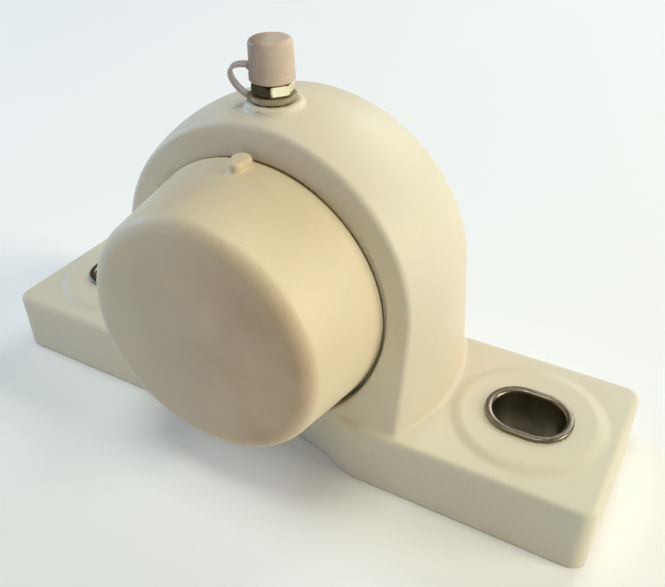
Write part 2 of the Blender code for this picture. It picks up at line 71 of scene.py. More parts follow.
HOUSING_LOW, HOUSING_HIGH = cad_box("housing")
SLEEVE_LOW, SLEEVE_HIGH = cad_box("bolt_sleeve_right")
CAP_LOW, CAP_HIGH = cad_box("closed_end_cap")
RING_LOW, RING_HIGH = cad_box("outer_ring")
INNER_LOW, INNER_HIGH = cad_box("inner_ring")
NIPPLE_LOW, NIPPLE_HIGH = cad_box("grease_nipple")
DUST_LOW, DUST_HIGH = cad_box("dust_cap")
STRAP_RING_LOW, STRAP_RING_HIGH = cad_box("dust_cap_ring")

BASE_HALF_LENGTH = HOUSING_HIGH[0]
BASE_HALF_WIDTH = HOUSING_HIGH[1]
CENTRE_HEIGHT = (RING_LOW[2] + RING_HIGH[2]) / 2
BOLT_X = (SLEEVE_LOW[0] + SLEEVE_HIGH[0]) / 2
NIPPLE_Y = (DUST_LOW[1] + DUST_HIGH[1]) / 2
BOSS_TOP = HOUSING_HIGH[2]

# ---------------------------------------------------------------- the housing's own sizes

FOOT_HEIGHT = 14.5
FOOT_CORNER = 3.2
FOOT_EDGE = 1.3
FOOT_FILLET = 0.9
UNDERSIDE_EDGE = 0.4
ARCH_RADIUS = 35.2
ARCH_FOOT_HALF_WIDTH = 36.5
ARCH_BARREL_RADIUS = 38
ARCH_EDGE = 0.8
# Half the arch's depth at the shaft's height, and how fast it shrinks upwards above and below it
ARCH_HALF_DEPTH = 13.9
ARCH_LEAN_ABOVE = 0.045
ARCH_LEAN_BELOW = 0.185
ARCH_LEAN_BEND = 4
ARCH_LOWEST = 10
PAD_RADIUS = 14.4
PAD_TOP = FOOT_HEIGHT + 0.4
PAD_EDGE = 1.6
BOSS_RADIUS = 5.2
BOSS_FOOT = 60
BOSS_EDGE = 0.5
BOSS_FILLET = 0.8
CAP_SEAT_Y = 12.9
CAP_SEAT_RADIUS = 27.95
POCKET_EDGE = 0.45
WAIST_HALF_WIDTH = 22
WAIST_DEPTH = 5.4
WAIST_TOP = 24
WAIST_TOP_EDGE = 0.6
WAIST_EDGE = 0.8
SPIGOT_BORE = 26.9
SPIGOT_FLOOR_Y = 9.6
WAY_IN_RADIUS = 25.05
SEAT_SPHERE = 26.3
BORE_EDGE = 0.4
SLOT_REACH = 1.8
SLEEVE_HOLE = 6.5
SLEEVE_HOLE_EDGE = 0.15
NIPPLE_HOLE = 3.2
NIPPLE_HOLE_FOOT = 50

# ---------------------------------------------------------------- how finely curved forms are meshed

HOUSING_VOXEL = 0.6
CAP_VOXEL = 0.42
SOFT_VOXEL = 0.16
THREAD_VOXEL = 0.14

# ---------------------------------------------------------------- shapes as distances


def smooth_max(a, b, radius):
    """The larger of two distances, with the edge where they meet rounded to the radius."""
    inside = np.minimum(-radius, np.maximum(a, b))
    return inside + np.hypot(np.maximum(a + radius, 0), np.maximum(b + radius, 0))


def smooth_min(a, b, radius):
    """The smaller of two distances, with the hollow where they meet filled to the radius."""
    return -smooth_max(-a, -b, radius)


def outline_distance(across, along, outline):
    """Distance to a closed outline of (across, along) points, negative inside it."""
    nearest = np.full(across.shape, np.inf)
    inside = np.zeros(across.shape, bool)
    for (a0, b0), (a1, b1) in zip(outline, [*outline[1:], outline[0]]):
        da, db = a1 - a0, b1 - b0
        share = ((across - a0) * da + (along - b0) * db) / (da * da + db * db)
        share = np.clip(share, 0, 1)
        nearest = np.minimum(nearest, np.hypot(across - a0 - share * da, along - b0 - share * db))
        if b0 != b1:
            crosses = (b0 > along) != (b1 > along)
            inside ^= crosses & (across < a0 + (along - b0) * da / db)
    return np.where(inside, -nearest, nearest)


def solid_from_field(name, field, low, high, voxel):
    """Meshes the surface where the field is zero, and sets its normals from the field."""
    low, high = np.array(low, float) - 2 * voxel, np.array(high, float) + 2 * voxel
    counts = np.ceil((high - low) / voxel).astype(int) + 1
    axes = [low[i] + voxel * np.arange(counts[i]) for i in range(3)]
    values = field(*np.meshgrid(*axes, indexing="ij"))
    grid = openvdb.FloatGrid(float(values.max()))
    grid.copyFromArray(values.astype(np.float32))
    points, quads = grid.convertToQuads(0)
    points = low + points.astype(float) * voxel
    # Newton's steps, which bring the points onto the surface
    for _ in range(3):
        slope = field_slope(field, points)
        steep = np.maximum((slope**2).sum(1), 0.05)
        points -= slope * (field(*points.T) / steep)[:, None]
    normals = field_slope(field, points)
    normals /= np.linalg.norm(normals, axis=1)[:, None]
    return new_object(name, points, quads, normals)


def field_slope(field, points, reach=0.02):
    """How fast the field grows along each axis, at each point."""
    slopes = []
    for axis in range(3):
        step = np.zeros(3)
        step[axis] = reach
        ahead, behind = field(*(points + step).T), field(*(points - step).T)
        slopes.append((ahead - behind) / (2 * reach))
    return np.stack(slopes, 1)


# ---------------------------------------------------------------- shapes as swept outlines


def arc(centre, radius, start, end, steps):
    """Points of a flat arc, in degrees, both ends included."""
    angles = [math.radians(start + (end - start) * i / steps) for i in range(steps + 1)]
    return [(centre[0] + radius * math.cos(a), centre[1] + radius * math.sin(a)) for a in angles]


def filleted(corners, steps=4):
    """A closed outline of (a, b, radius) corners, with each corner rounded by an arc."""
    points = []
    for i, (a, b, radius) in enumerate(corners):
        here = Vector((a, b))
        back = Vector(corners[i - 1][:2]) - here
        ahead = Vector(corners[(i + 1) % len(corners)][:2]) - here
        half = back.angle(ahead) / 2
        reach = min(radius / math.tan(half), 0.49 * back.length, 0.49 * ahead.length)
        if reach < 1e-6:
            points.append((a, b))
            continue
        middle = (back.normalized() + ahead.normalized()).normalized()
        centre = here + middle * (reach / math.cos(half))
        start = here + back.normalized() * reach - centre
        end = here + ahead.normalized() * reach - centre
        first = math.atan2(start.y, start.x)
        turn = (math.atan2(end.y, end.x) - first + math.pi) % (2 * math.pi) - math.pi
        angles = math.degrees(first), math.degrees(first + turn)
        points += arc(centre, start.length, *angles, steps)
    return points


def new_object(name, points, faces, normals=None, sharp=35):
    """A mesh object from points in millimetres, with its faces turned outwards."""
    points = np.asarray(points, float)
    faces = np.asarray(faces)
    a, b, c = (points[faces[:, i]] for i in range(3))
    volume = np.einsum("ij,ij->i", a, np.cross(b, c)).sum()
    if faces.shape[1] == 4:
        d = points[faces[:, 3]]
        volume += np.einsum("ij,ij->i", a, np.cross(c, d)).sum()
    if volume < 0:
        faces = faces[:, ::-1]
    mesh = bpy.data.meshes.new(name)
    mesh.from_pydata(points * MM, [], faces.tolist())
    mesh.shade_smooth()
    if normals is None:
        mesh.set_sharp_from_angle(angle=math.radians(sharp))
    else:
        mesh.normals_split_custom_set_from_vertices(normals)
    obj = bpy.data.objects.new(name, mesh)
    bpy.context.scene.collection.objects.link(obj)
    return obj


def from_loops(name, loops, sharp=35):
    """Joins closed loops of equally many points, each to the next and the last to the first."""
    points = np.array(loops, float)
    rows, columns = points.shape[:2]
    index = np.arange(rows * columns).reshape(rows, columns)
    below = np.roll(index, -1, 0)
    faces = np.stack([index, np.roll(index, -1, 1), np.roll(below, -1, 1), below], -1)
    return new_object(name, points.reshape(-1, 3), faces.reshape(-1, 4), sharp=sharp)


def turned(name, outline, centre, axis="Y", steps=160):
    """Spins a closed outline of (radius, height) points about an axis through the centre."""
    angles = np.arange(steps) * 2 * math.pi / steps
    loops = []
    for radius, height in outline:
        a, b = radius * np.cos(angles), radius * np.sin(angles)
        h = np.full(steps, height)
        loop = np.stack([a, h, b] if axis == "Y" else [a, b, h], 1)
        loops.append(loop + centre)
    return from_loops(name, loops)


def slot_loop(radius, height, x, steps=40):
    """A slot along X with round ends of this radius."""
    right = arc((SLOT_REACH, 0), radius, -90, 90, steps)
    left = arc((-SLOT_REACH, 0), radius, 90, 270, steps)
    return [(x + px, py, height) for px, py in right + left]


def swept_tube(name, route, ring):
    """Carries a ring of (across, up) points along a route of (place, across, up) frames."""
    loops = [[place + across * a + up * b for a, b in ring] for place, across, up in route]
    points = np.array(loops, float)
    rows, columns = points.shape[:2]
    index = np.arange(rows * columns).reshape(rows, columns)
    turned_on = np.roll(index, -1, 1)
    sides = np.stack([index[:-1], turned_on[:-1], turned_on[1:], index[1:]], -1)
    faces = sides.reshape(-1, 4).tolist()
    bm = bmesh.new()
    verts = [bm.verts.new(p * MM) for p in points.reshape(-1, 3)]
    for face in faces:
        bm.faces.new([verts[i] for i in face])
    bm.faces.new(verts[:columns])
    bm.faces.new(verts[-columns:])
    bmesh.ops.recalc_face_normals(bm, faces=bm.faces)
    return object_from_bmesh(name, bm)


def object_from_bmesh(name, bm, sharp=35):
    mesh = bpy.data.meshes.new(name)
    bm.to_mesh(mesh)
    bm.free()
    mesh.shade_smooth()
    mesh.set_sharp_from_angle(angle=math.radians(sharp))
    obj = bpy.data.objects.new(name, mesh)
    bpy.context.scene.collection.objects.link(obj)
    return obj


# ---------------------------------------------------------------- housing

CENTRE = np.array([0, 0, CENTRE_HEIGHT])
NIPPLE_AXIS = np.array([0, NIPPLE_Y, 0])


def foot_field(x, y, z):
    """The base plate, with round corners in plan and a rounded upper edge."""
    across = np.abs(x) - (BASE_HALF_LENGTH - FOOT_CORNER)
    along = np.abs(y) - (BASE_HALF_WIDTH - FOOT_CORNER)
    plan = np.hypot(np.maximum(across, 0), np.maximum(along, 0)) - FOOT_CORNER
    plan += np.minimum(np.maximum(across, along), 0)
    return smooth_max(plan, z - FOOT_HEIGHT, FOOT_EDGE)


def arch_half_depth(z):
    """Half the arch's depth at this height. Its faces lean back, more so below the shaft."""
    above = z - CENTRE_HEIGHT
    mean = (ARCH_LEAN_ABOVE + ARCH_LEAN_BELOW) / 2
    bend = (ARCH_LEAN_BELOW - ARCH_LEAN_ABOVE) / 2
    bent = np.hypot(above, ARCH_LEAN_BEND) - ARCH_LEAN_BEND
    return ARCH_HALF_DEPTH - mean * above + bend * bent


def arch_field(x, y, z):
    """A barrel-shaped half round over side walls that spread towards the feet."""
    above = np.maximum(z - CENTRE_HEIGHT, 0)
    below = np.maximum(CENTRE_HEIGHT - z, 0)
    spread = (ARCH_FOOT_HALF_WIDTH - ARCH_RADIUS) / (CENTRE_HEIGHT - FOOT_HEIGHT)
    barrel = y**2 / (2 * ARCH_BARREL_RADIUS)
    outer = np.hypot(x, above) - spread * below - ARCH_RADIUS + barrel
    arch = smooth_max(outer, np.abs(y) - arch_half_depth(z), ARCH_EDGE)
    return np.maximum(arch, ARCH_LOWEST - z)


def pocket_field(radius, depth):
    """What the round pocket for an end cap's rim leaves standing."""
    return np.minimum(CAP_SEAT_RADIUS - radius, depth - CAP_SEAT_Y)


def waist_field(x, depth, z):
    """What the upright scoops in the base's long sides leave standing."""
    scoop = (WAIST_HALF_WIDTH**2 + WAIST_DEPTH**2) / (2 * WAIST_DEPTH)
    scoop_y = BASE_HALF_WIDTH - WAIST_DEPTH + scoop
    return smooth_min(scoop - np.hypot(x, depth - scoop_y), WAIST_TOP - z, WAIST_TOP_EDGE)


def bore_field(radius, y, depth):
    """What the ball-shaped seat, the ways in and the spigot recesses leave standing."""
    seat = np.maximum(SEAT_SPHERE - np.hypot(radius, y), WAY_IN_RADIUS - radius)
    recess = np.minimum(SPIGOT_BORE - radius, depth - SPIGOT_FLOOR_Y)
    return np.maximum(seat, recess)


def housing_field(x, y, z):
    depth = np.abs(y)
    radius = np.hypot(x, z - CENTRE_HEIGHT)
    from_bolt = np.abs(x) - BOLT_X
    from_nipple = np.hypot(x, y - NIPPLE_Y)
    slot = np.hypot(np.maximum(np.abs(from_bolt) - SLOT_REACH, 0), y)
    body = smooth_min(foot_field(x, y, z), arch_field(x, y, z), FOOT_FILLET)
    pad = smooth_max(np.hypot(from_bolt, y) - PAD_RADIUS, z - PAD_TOP, PAD_EDGE)
    body = smooth_min(body, pad, PAD_EDGE)
    boss = smooth_max(from_nipple - BOSS_RADIUS, z - BOSS_TOP, BOSS_EDGE)
    boss = np.maximum(boss, BOSS_FOOT - z)
    body = smooth_min(body, boss, BOSS_FILLET)
    body = smooth_max(body, pocket_field(radius, depth), POCKET_EDGE)
    body = smooth_max(body, waist_field(x, depth, z), WAIST_EDGE)
    body = smooth_max(body, bore_field(radius, y, depth), BORE_EDGE)
    body = smooth_max(body, SLEEVE_HOLE - slot, SLEEVE_HOLE_EDGE)
    nipple_hole = np.minimum(NIPPLE_HOLE - from_nipple, z - NIPPLE_HOLE_FOOT)
    body = smooth_max(body, nipple_hole, BORE_EDGE)
    return smooth_max(body, -z, UNDERSIDE_EDGE)


def make_housing():
    size = HOUSING_LOW, HOUSING_HIGH, HOUSING_VOXEL
    return solid_from_field("pillow_housing", housing_field, *size)


# ---------------------------------------------------------------- closed end cap

CAP_RIM_Y = CAP_HIGH[1] - 3.3
CAP_FRONT_Y = CAP_LOW[1]
CAP_RIM_RADIUS = 27.4
CAP_FRONT_RADIUS = 24.35
CAP_EDGE = 3.6
CAP_WALL = 1.7
SPIGOT_RADIUS = 26.6
SPIGOT_WALL = 1.4
LUG_X = -0.2
LUG_TOP = 28.9
# (distance along Y, radius in plan) of the lug's broad and narrow ends
LUG_BROAD = (-15.3, 2.1)
LUG_NARROW = (-16.6, 1.5)
# How far its top falls towards the front, how crowned it is, and its edge, fillet and depth
LUG_FALL = 0.4
LUG_CROWN = 0.05
LUG_EDGE = 0.7
LUG_FILLET = 0.5
LUG_ROOT = 1.2


def cap_outline():
    """The cap's wall as (radius, y), carried a little past its axis."""
    inside_front = CAP_FRONT_Y + CAP_WALL
    spigot_bore = SPIGOT_RADIUS - SPIGOT_WALL
    corners = [(-4, CAP_FRONT_Y, 0), (CAP_FRONT_RADIUS, CAP_FRONT_Y, CAP_EDGE)]
    corners += [(CAP_RIM_RADIUS, CAP_RIM_Y, 0.5), (SPIGOT_RADIUS, CAP_RIM_Y, 0.15)]
    corners += [(SPIGOT_RADIUS, CAP_HIGH[1], 0.5), (spigot_bore, CAP_HIGH[1], 0.3)]
    corners += [(spigot_bore, CAP_RIM_Y - 2, 0.5)]
    corners += [(CAP_FRONT_RADIUS - CAP_WALL, inside_front, CAP_EDGE - CAP_WALL)]
    corners += [(-4, inside_front, 0)]
    return filleted(corners, 10)


def lug_field(x, y, height):
    """A stubby lug on top of the cap, broad at the rim and narrower towards the front."""
    (start, broad), (end, narrow) = LUG_BROAD, LUG_NARROW
    across = x - LUG_X
    share = np.clip((y - start) / (end - start), 0, 1)
    plan = np.hypot(across, y - start - share * (end - start)) - broad - share * (narrow - broad)
    top = height - LUG_TOP + LUG_FALL * share + LUG_CROWN * across**2
    body = smooth_max(plan, top, LUG_EDGE)
    return np.maximum(body, CAP_RIM_RADIUS - LUG_ROOT - height)


def cap_field(x, y, z):
    z = z - CENTRE_HEIGHT
    wall = outline_distance(np.hypot(x, z), y, cap_outline())
    return smooth_min(wall, lug_field(x, y, z), LUG_FILLET)


def make_end_cap():
    return solid_from_field("end_cap", cap_field, CAP_LOW, CAP_HIGH, CAP_VOXEL)


# ---------------------------------------------------------------- bolt sleeves

SLEEVE_BORE = 5.3
SLEEVE_RADIUS = 6.3
SLEEVE_RIM = 6.95


def make_bolt_sleeve(side):
    """A steel tube through the foot, with its rim rolled out over the pad."""
    top, bottom = SLEEVE_HIGH[2], SLEEVE_LOW[2]
    seat = PAD_TOP + 0.3
    corners = [(SLEEVE_BORE, bottom, 0.2), (SLEEVE_RADIUS, bottom, 0.2)]
    corners += [(SLEEVE_RADIUS, seat, 0.15), (SLEEVE_RIM, seat, 0.39)]
    corners += [(SLEEVE_RIM, top, 0.4), (SLEEVE_BORE, top, 0.7)]
    x = BOLT_X if side == "right" else -BOLT_X
    loops = [slot_loop(radius, height, x) for radius, height in filleted(corners, 6)]
    return from_loops(f"sleeve_{side}", loops)


# ---------------------------------------------------------------- insert bearing

SPHERE_RADIUS = 26
SHAFT_RADIUS = 12.5
INNER_RADIUS = 17
SHOULDER_RADIUS = 21.7
SEAL_STEP_RADIUS = 22.9
SEAL_STEP_Y = 5.9
BALL_COUNT = 9
BALL_RADIUS = 3.969
BALL_CIRCLE_RADIUS = 19.25
GROOVE_RADIUS = 4.1
SCREW_Y = -14.8
SCREW_ANGLES = (60, 120)
SCREW_RADIUS = 3
SCREW_TIP = 12.9
SCREW_HEAD = 17.6
SCREW_REACH = 3.9
SCREW_HOLE = 3.15
SCREW_THREAD_DEPTH = 0.42
THREAD_PITCH = 0.75
SOCKET_FLATS = 3
SOCKET_DEPTH = 2.4
GREASE_HOLE = 1


def groove(shoulder, outward, steps=20):
    """The ball groove's corners, along the shaft from front to rear."""
    half = math.degrees(math.acos(abs(BALL_CIRCLE_RADIUS - shoulder) / GROOVE_RADIUS))
    middle = 0 if outward else 180
    points = arc((BALL_CIRCLE_RADIUS, 0), GROOVE_RADIUS, middle - half, middle + half, steps)
    return [(r, y, 0) for r, y in (points if outward else points[::-1])]


def drilled(obj, centre, direction, radius, start, end):
    """Cuts a round hole through an object, from start to end along a direction."""
    bm = bmesh.new()
    bmesh.ops.create_cone(
        bm,
        cap_ends=True,
        segments=48,
        radius1=radius * MM,
        radius2=radius * MM,
        depth=(end - start) * MM,
    )
    turn = Vector(direction).to_track_quat("Z", "Y").to_matrix().to_4x4()
    middle = Vector(centre) + Vector(direction) * (start + end) / 2
    bm.transform(Matrix.Translation(middle * MM) @ turn)
    cutter = object_from_bmesh("hole_form", bm)
    modifier = obj.modifiers.new("hole", "BOOLEAN")
    modifier.operation = "DIFFERENCE"
    modifier.solver = "EXACT"
    modifier.object = cutter
    graph = bpy.context.evaluated_depsgraph_get()
    mesh = bpy.data.meshes.new_from_object(obj.evaluated_get(graph))
    obj.modifiers.clear()
    bpy.data.objects.remove(cutter)
    mesh.shade_smooth()
    mesh.set_sharp_from_angle(angle=math.radians(35))
    obj.data = mesh
    return obj


def make_outer_ring():
    half = RING_HIGH[1]
    edge_angle = math.degrees(math.asin(half / SPHERE_RADIUS))
    outside = arc((0, 0), SPHERE_RADIUS, -edge_angle, edge_angle, 24)
    corners = [(r, y, 0.3 if abs(y) > half - 0.01 else 0) for r, y in outside]
    step = [(SEAL_STEP_RADIUS, half, 0.25), (SEAL_STEP_RADIUS, SEAL_STEP_Y, 0.1)]
    step += [(SHOULDER_RADIUS, SEAL_STEP_Y, 0.2)]
    corners += step + groove(SHOULDER_RADIUS, True)[::-1]
    corners += [(r, -y, f) for r, y, f in reversed(step)]
    ring = turned("insert_outer_ring", filleted(corners), CENTRE)
    start, end = CENTRE_HEIGHT + 16, CENTRE_HEIGHT + 30
    return drilled(ring, NIPPLE_AXIS, (0, 0, 1), GREASE_HOLE, start, end)


def make_inner_ring():
    front, rear = INNER_LOW[1], INNER_HIGH[1]
    corners = [(SHAFT_RADIUS, front, 0.8), (INNER_RADIUS, front, 0.6)]
    corners += groove(INNER_RADIUS, False)
    corners += [(INNER_RADIUS, rear, 0.6), (SHAFT_RADIUS, rear, 0.8)]
    ring = turned("insert_inner_ring", filleted(corners), CENTRE)
    for angle in SCREW_ANGLES:
        turn = math.radians(angle)
        out = (math.cos(turn), 0, math.sin(turn))
        ring = drilled(ring, CENTRE + (0, SCREW_Y, 0), out, SCREW_HOLE, 8, 24)
    return ring


def make_seal(side):
    """A rubber washer in the outer ring's step, with a lip close to the inner ring."""
    lip, root = INNER_RADIUS + 0.15, SEAL_STEP_RADIUS - 0.1
    web, face = 6.3, 7.25
    corners = [(lip, web - 0.2, 0.05), (lip, web + 0.3, 0.15), (18.3, 7.2, 0.4), (19.4, 6.9, 0.2)]
    corners += [(20.2, face, 0.2), (root, face, 0.25), (root, web, 0.2), (18.6, web, 0.3)]
    sign = -1 if side == "front" else 1
    outline = [(r, sign * y) for r, y in filleted(corners)]
    return turned(f"rubber_seal_{side}", outline, CENTRE)


def make_slinger(side):
    """A pressed steel disc on a short collar, outside the seal."""
    collar, rim = INNER_RADIUS + 0.1, SEAL_STEP_RADIUS - 0.6
    back, face, end, wall = 7.5, 8.45, 9.8, 0.6
    corners = [(collar, back, 0.1), (rim, back + 0.1, 0.1), (rim, 8.2, 0.25), (20.2, 8.15, 0.3)]
    corners += [(19.6, face, 0.3), (18.4, face, 0.4), (collar + wall, face, 0.3)]
    corners += [(collar + wall, end, 0.15), (collar, end, 0.1)]
    sign = -1 if side == "front" else 1
    outline = [(r, sign * y) for r, y in filleted(corners)]
    return turned(f"steel_slinger_{side}", outline, CENTRE)


def make_ball(name, centre, radius, segments=40):
    bm = bmesh.new()
    bmesh.ops.create_uvsphere(
        bm, u_segments=segments, v_segments=segments // 2, radius=radius * MM
    )
    bmesh.ops.translate(bm, vec=Vector(centre) * MM, verts=bm.verts)
    return object_from_bmesh(name, bm)


def make_balls():
    balls = []
    for number in range(BALL_COUNT):
        angle = 2 * math.pi * number / BALL_COUNT
        offset = np.array([math.sin(angle), 0, math.cos(angle)]) * BALL_CIRCLE_RADIUS
        balls.append(make_ball(f"steel_ball_{number + 1}", CENTRE + offset, BALL_RADIUS))
    return balls


def hexagon(x, y, flats, first_flat=30):
    """Distance to a hexagon whose first flat faces this angle."""
    sides = []
    for turn in range(3):
        angle = math.radians(first_flat + 60 * turn)
        sides.append(np.abs(x * math.cos(angle) + y * math.sin(angle)))
    return np.maximum.reduce(sides) - flats / 2


def threaded(radius, angle, height, major, depth, pitch):
    """Distance to a screw thread's flanks, with its crests at the major radius."""
    wave = 0.5 - 0.5 * np.cos(2 * math.pi * height / pitch - angle)
    return (radius - major + depth * wave) * 0.8


def make_set_screw(number):
    """A threaded screw with a cup point towards the shaft and a hexagon socket outside."""
    turn = math.radians(SCREW_ANGLES[number - 1])

    def field(x, y, z):
        z = z - CENTRE_HEIGHT
        height = x * math.cos(turn) + z * math.sin(turn)
        a, b = z * math.cos(turn) - x * math.sin(turn), y - SCREW_Y
        radius = np.hypot(a, b)
        turned_by = np.arctan2(b, a)
        body = threaded(radius, turned_by, height, SCREW_RADIUS, SCREW_THREAD_DEPTH, THREAD_PITCH)
        body = smooth_max(body, np.maximum(height - SCREW_HEAD, SCREW_TIP - height), 0.1)
        body = smooth_max(body, (radius + height - SCREW_HEAD - 2.5) / math.sqrt(2), 0.1)
        body = smooth_max(body, (radius - height + SCREW_TIP - 2.3) / math.sqrt(2), 0.1)
        cup = (1.3 - radius - (height - SCREW_TIP) * 1.2) / 1.6
        socket = np.minimum(-hexagon(a, b, SOCKET_FLATS), height - SCREW_HEAD + SOCKET_DEPTH)
        return smooth_max(smooth_max(body, cup, 0.08), socket, 0.08)

    out = np.array([math.cos(turn), 0, math.sin(turn)])
    middle = CENTRE + (0, SCREW_Y, 0) + out * (SCREW_TIP + SCREW_HEAD) / 2
    low, high = middle - SCREW_REACH, middle + SCREW_REACH
    return solid_from_field(f"collar_screw_{number}", field, low, high, THREAD_VOXEL)


# ---------------------------------------------------------------- grease nipple

NIPPLE_FOOT = NIPPLE_LOW[2]
NIPPLE_TOP = NIPPLE_HIGH[2]
HEX_FLATS = 7
HEX_BOTTOM = 73.5
HEX_TOP = 75.4
HEX_CORNER = 3.75
# The angle in plan that the hexagon's first flat faces, and the one of the flat painted dark as a
# painted dark reflection
HEX_FIRST_FLAT = 20
HEX_DARK_REFLECTION_FLAT = math.radians(-100)
HEX_TILT = math.radians(30)
SHANK_RADIUS = 2.9
SHANK_THREAD_DEPTH = 0.4
THREAD_TOP = BOSS_TOP - 0.6
RELIEF_RADIUS = 2.5
NECK_RADIUS = 2.3
HEAD_RADIUS = 3.1
HEAD_TOP_RADIUS = 2
# The heights where the neck ends, where the head is widest and where it starts to close in
HEAD_LEVELS = (77.3, 78.6, 79.6)
WAY_RADIUS = 0.9
MOUTH_RADIUS = 0.95
CHAMBER_RADIUS = 1.6
CHAMBER_LEVELS = (72.5, 80.2)
CHECK_BALL_RADIUS = 1.25
CHECK_BALL_Z = 79
STRAP_ANGLE = math.radians(205)


def nipple_outline():
    """The nipple's turned shape as (radius, height), from its foot up and back down its bore."""
    neck_top, head_low, head_high = HEAD_LEVELS
    chamber_low, chamber_high = CHAMBER_LEVELS
    corners = [(SHANK_RADIUS - 0.5, NIPPLE_FOOT, 0.1), (SHANK_RADIUS, NIPPLE_FOOT + 0.5, 0.1)]
    corners += [(SHANK_RADIUS, THREAD_TOP, 0.1), (RELIEF_RADIUS, BOSS_TOP, 0.1)]
    corners += [(RELIEF_RADIUS, HEX_BOTTOM + 0.4, 0), (RELIEF_RADIUS, HEX_TOP - 0.4, 0)]
    corners += [(NECK_RADIUS, HEX_TOP, 0.2), (NECK_RADIUS, neck_top, 0.5)]
    corners += [(HEAD_RADIUS, head_low, 0.3), (HEAD_RADIUS, head_high, 0.3)]
    corners += [(HEAD_TOP_RADIUS, NIPPLE_TOP, 0.25), (MOUTH_RADIUS, NIPPLE_TOP, 0.15)]
    corners += [(MOUTH_RADIUS, chamber_high, 0.1), (CHAMBER_RADIUS, chamber_high, 0.2)]
    corners += [(CHAMBER_RADIUS, chamber_low, 0.2), (WAY_RADIUS, chamber_low, 0.1)]
    return filleted([*corners, (WAY_RADIUS, NIPPLE_FOOT, 0.1)])


def nipple_field(x, y, z):
    y = y - NIPPLE_Y
    radius = np.hypot(x, y)
    body = outline_distance(radius, z, nipple_outline())
    angle = np.arctan2(y, x)
    thread = threaded(radius, angle, z, SHANK_RADIUS, SHANK_THREAD_DEPTH, THREAD_PITCH)
    body = smooth_max(body, np.minimum(thread, THREAD_TOP - z), 0.08)
    middle = (HEX_BOTTOM + HEX_TOP) / 2
    from_middle = np.abs(z - middle)
    flats = hexagon(x, y, HEX_FLATS, HEX_FIRST_FLAT)
    head = smooth_max(flats, from_middle - (HEX_TOP - HEX_BOTTOM) / 2, 0.1)
    sine, cosine = math.sin(HEX_TILT), math.cos(HEX_TILT)
    reach = HEX_CORNER * sine + (HEX_TOP - middle) * cosine
    chamfer = radius * sine + from_middle * cosine - reach
    head = smooth_max(smooth_max(head, chamfer, 0.1), 2.0 - radius, 0.1)
    return smooth_min(body, head, 0.12)


def make_nipple():
    return solid_from_field("brass_nipple", nipple_field, NIPPLE_LOW, NIPPLE_HIGH, THREAD_VOXEL)


def make_check_ball():
    centre = NIPPLE_AXIS + (0, 0, CHECK_BALL_Z)
    return make_ball("check_ball_steel", centre, CHECK_BALL_RADIUS)


def make_nipple_spring():
    low, high = 72.75, CHECK_BALL_Z - 1.2
    coil, wire, turns, steps = 1.05, 0.18, 7, 32
    route = []
    for i in range(turns * steps + 1):
        share = i / (turns * steps)
        angle = 2 * math.pi * turns * share
        rise = share - math.sin(2 * math.pi * share) / (2 * math.pi) * 0.75
        out = np.array([math.cos(angle), math.sin(angle), 0])
        place = NIPPLE_AXIS + out * coil + (0, 0, low + (high - low) * rise)
        route.append((place, out, np.array([0, 0, 1])))
    ring = arc((0, 0), wire, 0, 360, 10)[:-1]
    return swept_tube("nipple_coil", route, ring)


DUST_BORE = 3.4
DUST_EDGE = 0.95
DUST_TAPER = 0.25
DUST_ROOF = 1
DUST_FOOT_HEIGHT = 1.2
DUST_BEAD_Z = 77.5


def dust_field(x, y, z):
    """A soft cap with a rounded top, a thickened foot and a bead inside that grips the head."""
    y = y - NIPPLE_Y
    radius = np.hypot(x, y)
    outside, top, bottom = DUST_HIGH[0], DUST_HIGH[2], DUST_LOW[2]
    foot_top, roof = bottom + DUST_FOOT_HEIGHT, top - DUST_ROOF
    corners = [(-1, top, 0), (outside - DUST_TAPER, top, DUST_EDGE)]
    corners += [(outside - 0.08, foot_top + 0.3, 0.3), (outside, foot_top, 0.2)]
    corners += [(outside, bottom, 0.25), (DUST_BORE + 0.1, bottom, 0.2)]
    corners += [(DUST_BORE, DUST_BEAD_Z - 0.3, 0.1), (DUST_BORE - 0.15, DUST_BEAD_Z, 0.1)]
    corners += [(DUST_BORE, DUST_BEAD_Z + 0.3, 0.1), (DUST_BORE, roof, 0.5), (-1, roof, 0)]
    wall = outline_distance(radius, z, filleted(corners))
    out = x * math.cos(STRAP_ANGLE) + y * math.sin(STRAP_ANGLE)
    side = np.abs(y * math.cos(STRAP_ANGLE) - x * math.sin(STRAP_ANGLE))
    root = smooth_max(side - STRAP_ROOT_HALF_WIDTH, np.abs(z - STRAP_ROUTE[-1][1]) - 0.55, 0.25)
    root = smooth_max(root, np.maximum(out - outside - 0.15, DUST_BORE + 0.3 - out), 0.2)
    return smooth_min(wall, root, 0.3)


def make_dust_cap():
    low, high = DUST_LOW - (0.4, 0.4, 0), DUST_HIGH
    return solid_from_field("dust_cap_shell", dust_field, low, high, SOFT_VOXEL)


def ring_field(x, y, z):
    """The strap's ring under the hexagon, with a short root where the strap leaves it."""
    y = y - NIPPLE_Y
    low, high = STRAP_RING_LOW[2], STRAP_RING_HIGH[2]
    outside = STRAP_RING_HIGH[0]
    half = (high - low) / 2
    from_middle = np.abs(z - (low + high) / 2) - half
    radius = np.hypot(x, y)
    ring = smooth_max(smooth_max(radius - outside, from_middle, 0.35), 3.1 - radius, 0.2)
    out = x * math.cos(STRAP_ANGLE) + y * math.sin(STRAP_ANGLE)
    side = np.abs(y * math.cos(STRAP_ANGLE) - x * math.sin(STRAP_ANGLE))
    root = smooth_max(side - STRAP_ROOT_HALF_WIDTH, from_middle + 0.1, 0.2)
    root = smooth_max(root, np.maximum(out - outside - 0.4, 3.3 - out), 0.2)
    return smooth_min(ring, root, 0.3)


